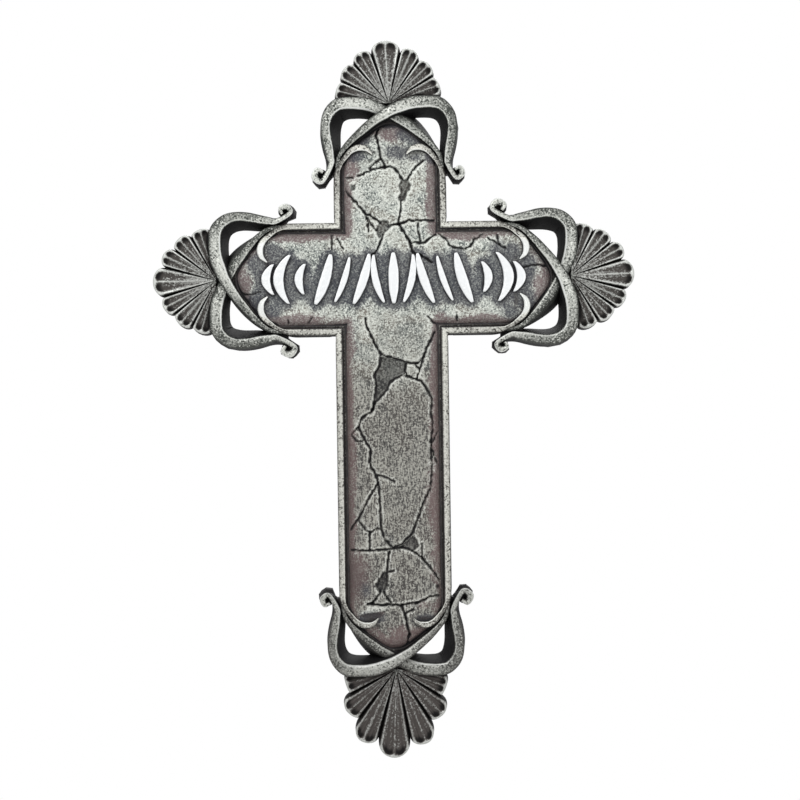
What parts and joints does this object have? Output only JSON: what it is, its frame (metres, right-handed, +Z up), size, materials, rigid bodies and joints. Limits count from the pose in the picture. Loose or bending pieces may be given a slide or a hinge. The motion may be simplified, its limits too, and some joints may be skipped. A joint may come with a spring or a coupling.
{
  "type": "wall cross",
  "caption": "Wall-hung memorial cross in cast resin, with shell ends, interlaced straps, a cracked stone panel and a flat back with a keyhole.",
  "frame": {"origin": "on the flat back, behind the point where the two beams cross, where the back meets the wall", "axes": "+Z up the cross towards its top, +X to the right as seen from the front, and the front faces -Y, so the wall lies on the +Y side"},
  "size_m": [0.2066, 0.018, 0.3072],
  "materials": {
    "silvered_resin": "matt cast resin with a dark wash in the hollows and silver brushed over all that stands proud"
  },
  "bodies": {
    "root": {"cross": "silvered_resin"}
  },
  "joints": []
}
